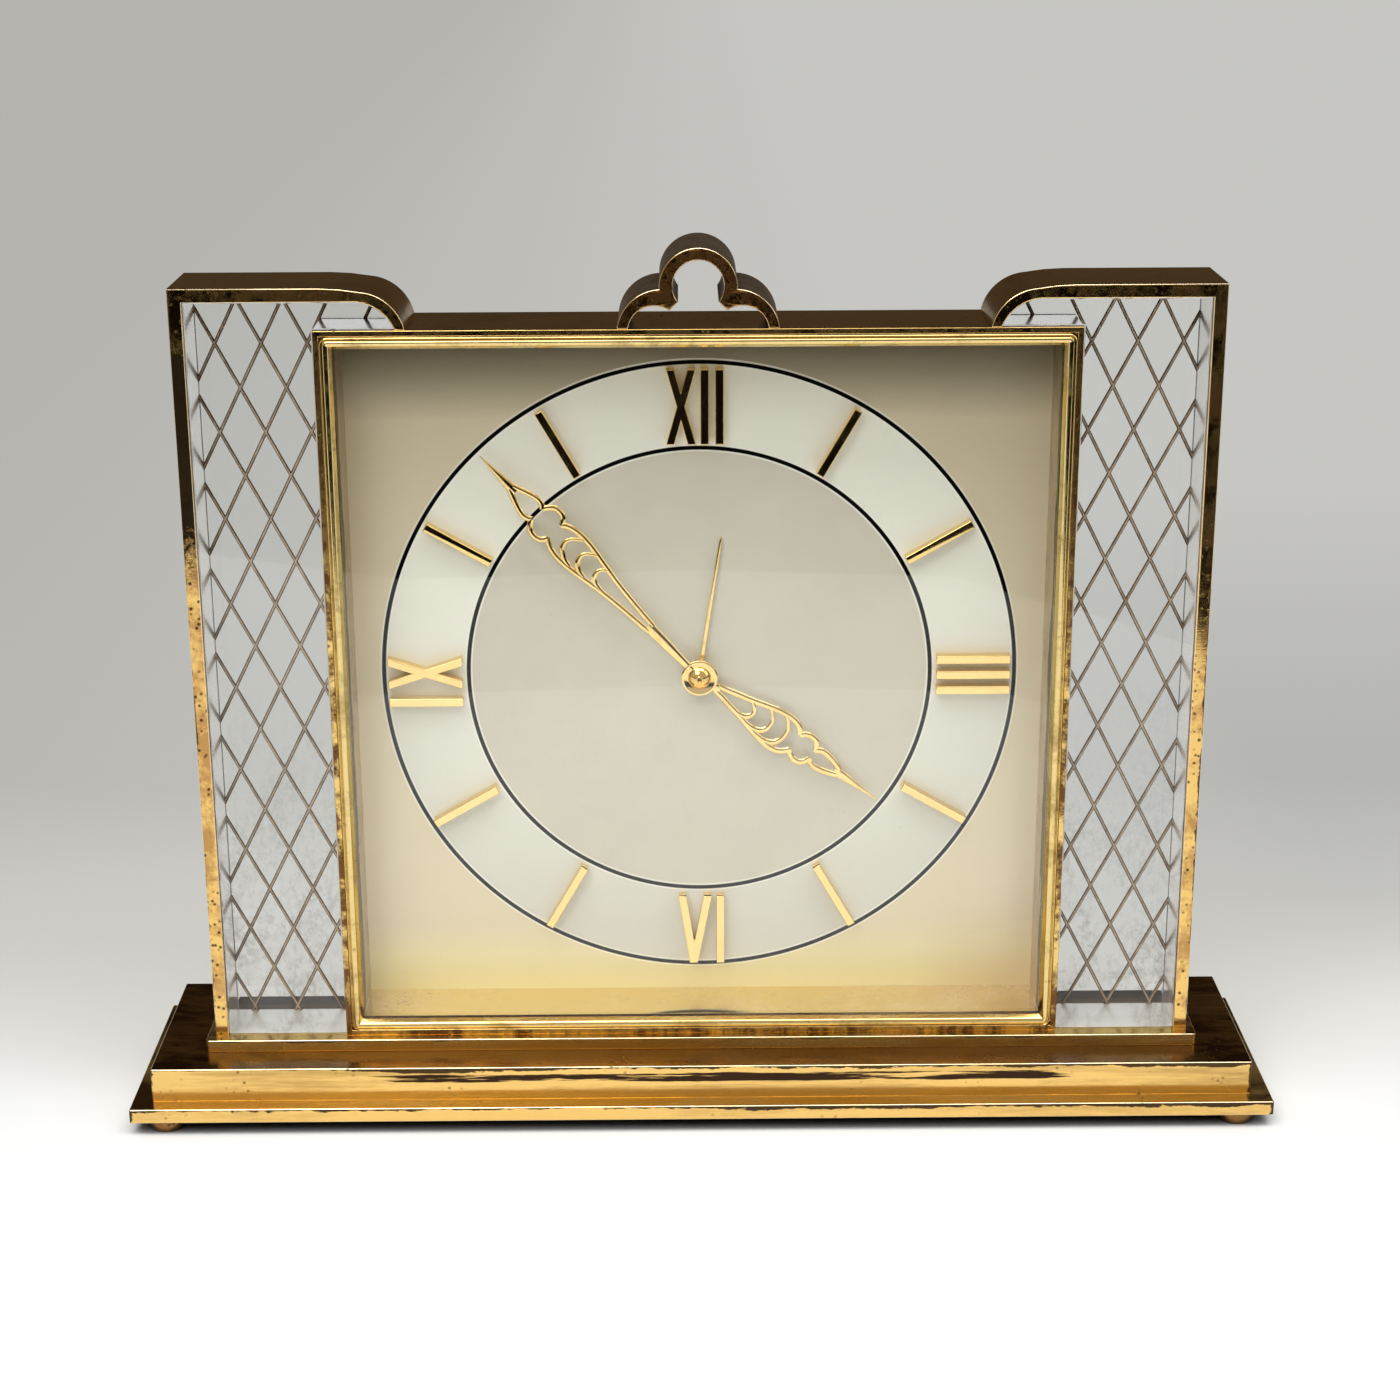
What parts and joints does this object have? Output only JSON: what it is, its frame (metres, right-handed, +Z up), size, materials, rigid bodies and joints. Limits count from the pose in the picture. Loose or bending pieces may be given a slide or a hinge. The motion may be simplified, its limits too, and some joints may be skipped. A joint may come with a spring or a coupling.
{
  "type": "table clock",
  "caption": "Table clock: square brass case between clear side panels with an engraved lattice, three-lobed top loop and stepped base, key-wound alarm movement behind.",
  "frame": {"origin": "middle of the base, on the surface that the clock stands on", "axes": "+X along the base to the right of the dial, +Y to the back, +Z up"},
  "size_m": [0.23, 0.05, 0.1752],
  "materials": {
    "brass": "lacquered, aged at the edges",
    "bronze_inlay": "matt fill in engraved grooves",
    "clear_acrylic": "clear polished block",
    "glass": "clear polished",
    "dial_metal": "satin, lighter hour ring, black circles",
    "steel": "plain"
  },
  "bodies": {
    "clock": {"lower_base_plate": "brass", "upper_base_step": "brass", "plinth_strip": "brass", "feet": "brass", "tie_screws": "steel", "frame_strip_left": "brass", "frame_strip_right": "brass", "side_panel_left": "clear_acrylic", "side_panel_right": "clear_acrylic", "lattice_inlay_left": "bronze_inlay", "lattice_inlay_right": "bronze_inlay", "case_shell": "brass", "bezel": "brass", "front_glass": "glass", "dial_liner": "brass", "dial_plate": "dial_metal", "hour_batons": "brass", "numeral_twelve": "brass", "numeral_three": "brass", "numeral_six": "brass", "numeral_nine": "brass", "top_loop": "brass", "case_back_plate": "brass", "back_plate_screws": "steel", "movement_cover": "brass", "cover_screws": "steel", "movement_front_plate": "brass", "movement_rear_plate": "brass", "movement_pillars": "brass", "movement_screws": "steel", "balance_cock": "brass", "hairspring": "steel", "ratchet_clicks": "steel"},
    "minute_group": {"cannon_pinion": "steel", "minute_hand": "brass", "hand_nut": "brass"},
    "minute_wheel": {"minute_wheel": "brass"},
    "hour_group": {"hour_wheel": "brass", "hour_hand": "brass"},
    "hand_setter": {"hand_setting_knob": "brass"},
    "alarm_group": {"alarm_wheel": "brass", "alarm_hand": "brass"},
    "alarm_setter": {"alarm_setting_knob": "brass"},
    "third_wheel": {"third_wheel": "brass"},
    "centre_wheel": {"centre_wheel": "brass"},
    "fourth_wheel": {"fourth_wheel": "brass"},
    "escape_wheel": {"escape_wheel": "brass"},
    "intermediate_wheel": {"intermediate_wheel": "brass"},
    "time_barrel": {"time_barrel": "brass"},
    "pallet_fork": {"pallet_fork": "steel"},
    "balance_wheel": {"balance_wheel": "brass"},
    "hammer_wheel": {"hammer_wheel": "brass"},
    "alarm_barrel": {"alarm_barrel": "brass"},
    "alarm_hammer": {"alarm_hammer": "steel"},
    "time_key": {"time_key_hub": "brass"},
    "time_bow": {"time_key_bow": "brass"},
    "alarm_key": {"alarm_key_hub": "brass"},
    "alarm_bow": {"alarm_key_bow": "brass"},
    "alarm_stop": {"alarm_stop_button": "brass"},
    "regulator": {"regulator_lever": "steel"}
  },
  "joints": [
    {"name": "minute_turn", "type": "hinge", "parent": "clock", "child": "minute_group", "pos_m": [0, 0.00875, 0.0875], "axis": [0, 1, 0], "continuous": true},
    {"name": "minute_wheel_turn", "type": "hinge", "parent": "clock", "child": "minute_wheel", "pos_m": [-0.00099, 0.00875, 0.09584], "axis": [0, 1, 0], "continuous": true},
    {"name": "hour_turn", "type": "hinge", "parent": "clock", "child": "hour_group", "pos_m": [0, 0.00875, 0.0875], "axis": [0, 1, 0], "continuous": true},
    {"name": "hand_set_turn", "type": "hinge", "parent": "clock", "child": "hand_setter", "pos_m": [0.001, 0.00875, 0.104], "axis": [0, 1, 0], "continuous": true},
    {"name": "alarm_turn", "type": "hinge", "parent": "clock", "child": "alarm_group", "pos_m": [0, 0.00875, 0.0875], "axis": [0, 1, 0], "continuous": true},
    {"name": "alarm_set_turn", "type": "hinge", "parent": "clock", "child": "alarm_setter", "pos_m": [0.01052, 0.00875, 0.08367], "axis": [0, 1, 0], "continuous": true},
    {"name": "third_turn", "type": "hinge", "parent": "clock", "child": "third_wheel", "pos_m": [0, 0.00875, 0.0767], "axis": [0, 1, 0], "continuous": true},
    {"name": "centre_turn", "type": "hinge", "parent": "clock", "child": "centre_wheel", "pos_m": [0, 0.00875, 0.0875], "axis": [0, 1, 0], "continuous": true},
    {"name": "fourth_turn", "type": "hinge", "parent": "clock", "child": "fourth_wheel", "pos_m": [0.00799, 0.00875, 0.07379], "axis": [0, 1, 0], "continuous": true},
    {"name": "escape_turn", "type": "hinge", "parent": "clock", "child": "escape_wheel", "pos_m": [0.0146, 0.00875, 0.0762], "axis": [0, 1, 0], "continuous": true},
    {"name": "intermediate_turn", "type": "hinge", "parent": "clock", "child": "intermediate_wheel", "pos_m": [-0.01105, 0.00875, 0.08348], "axis": [0, 1, 0], "continuous": true},
    {"name": "barrel_turn", "type": "hinge", "parent": "clock", "child": "time_barrel", "pos_m": [-0.01576, 0.00875, 0.09898], "axis": [0, 1, 0], "continuous": true},
    {"name": "pallet_rock", "type": "hinge", "parent": "clock", "child": "pallet_fork", "pos_m": [0.01856, 0.00875, 0.08016], "axis": [0, 1, 0], "range_deg": [-5, 5]},
    {"name": "balance_swing", "type": "hinge", "parent": "clock", "child": "balance_wheel", "pos_m": [0.02302, 0.00875, 0.08462], "axis": [0, 1, 0], "range_deg": [-150, 150], "stiffness_Nm_per_rad": 0.000003},
    {"name": "hammer_wheel_turn", "type": "hinge", "parent": "clock", "child": "hammer_wheel", "pos_m": [0.02116, 0.00875, 0.09346], "axis": [0, 1, 0], "continuous": true},
    {"name": "alarm_barrel_turn", "type": "hinge", "parent": "clock", "child": "alarm_barrel", "pos_m": [0.0145, 0.00875, 0.105], "axis": [0, 1, 0], "continuous": true},
    {"name": "hammer_knock", "type": "hinge", "parent": "clock", "child": "alarm_hammer", "pos_m": [0.0295, 0.00875, 0.0995], "axis": [0, 1, 0], "range_deg": [-4, 4]},
    {"name": "time_key_wind", "type": "hinge", "parent": "clock", "child": "time_key", "pos_m": [-0.01576, 0.00875, 0.09898], "axis": [0, 1, 0], "range_deg": [0, 1440]},
    {"name": "time_bow_fold", "type": "hinge", "parent": "time_key", "child": "time_bow", "pos_m": [-0.01576, 0.0228, 0.09898], "axis": [1, 0, 0], "range_deg": [0, 90]},
    {"name": "alarm_key_wind", "type": "hinge", "parent": "clock", "child": "alarm_key", "pos_m": [0.0145, 0.00875, 0.105], "axis": [0, 1, 0], "range_deg": [0, 1440]},
    {"name": "alarm_bow_fold", "type": "hinge", "parent": "alarm_key", "child": "alarm_bow", "pos_m": [0.0145, 0.0228, 0.105], "axis": [1, 0, 0], "range_deg": [0, 90]},
    {"name": "alarm_stop_push", "type": "slide", "parent": "clock", "child": "alarm_stop", "axis": [0, -1, 0], "range_m": [0, 0.0015]},
    {"name": "regulator_shift", "type": "hinge", "parent": "clock", "child": "regulator", "pos_m": [0.02302, 0.00875, 0.08462], "axis": [0, 1, 0], "range_deg": [-15, 15]}
  ],
  "couplings": [
    {"joint": "minute_wheel_turn", "follows": "minute_turn", "ratio": -0.33333},
    {"joint": "hour_turn", "follows": "minute_turn", "ratio": 0.083333},
    {"joint": "hand_set_turn", "follows": "minute_turn", "ratio": 1},
    {"joint": "alarm_set_turn", "follows": "alarm_turn", "ratio": -3},
    {"joint": "centre_turn", "follows": "third_turn", "ratio": -0.125},
    {"joint": "fourth_turn", "follows": "third_turn", "ratio": -7.5},
    {"joint": "escape_turn", "follows": "third_turn", "ratio": 75},
    {"joint": "intermediate_turn", "follows": "third_turn", "ratio": 0.020833},
    {"joint": "barrel_turn", "follows": "third_turn", "ratio": -0.0026042},
    {"joint": "alarm_barrel_turn", "follows": "hammer_wheel_turn", "ratio": -0.15625}
  ]
}
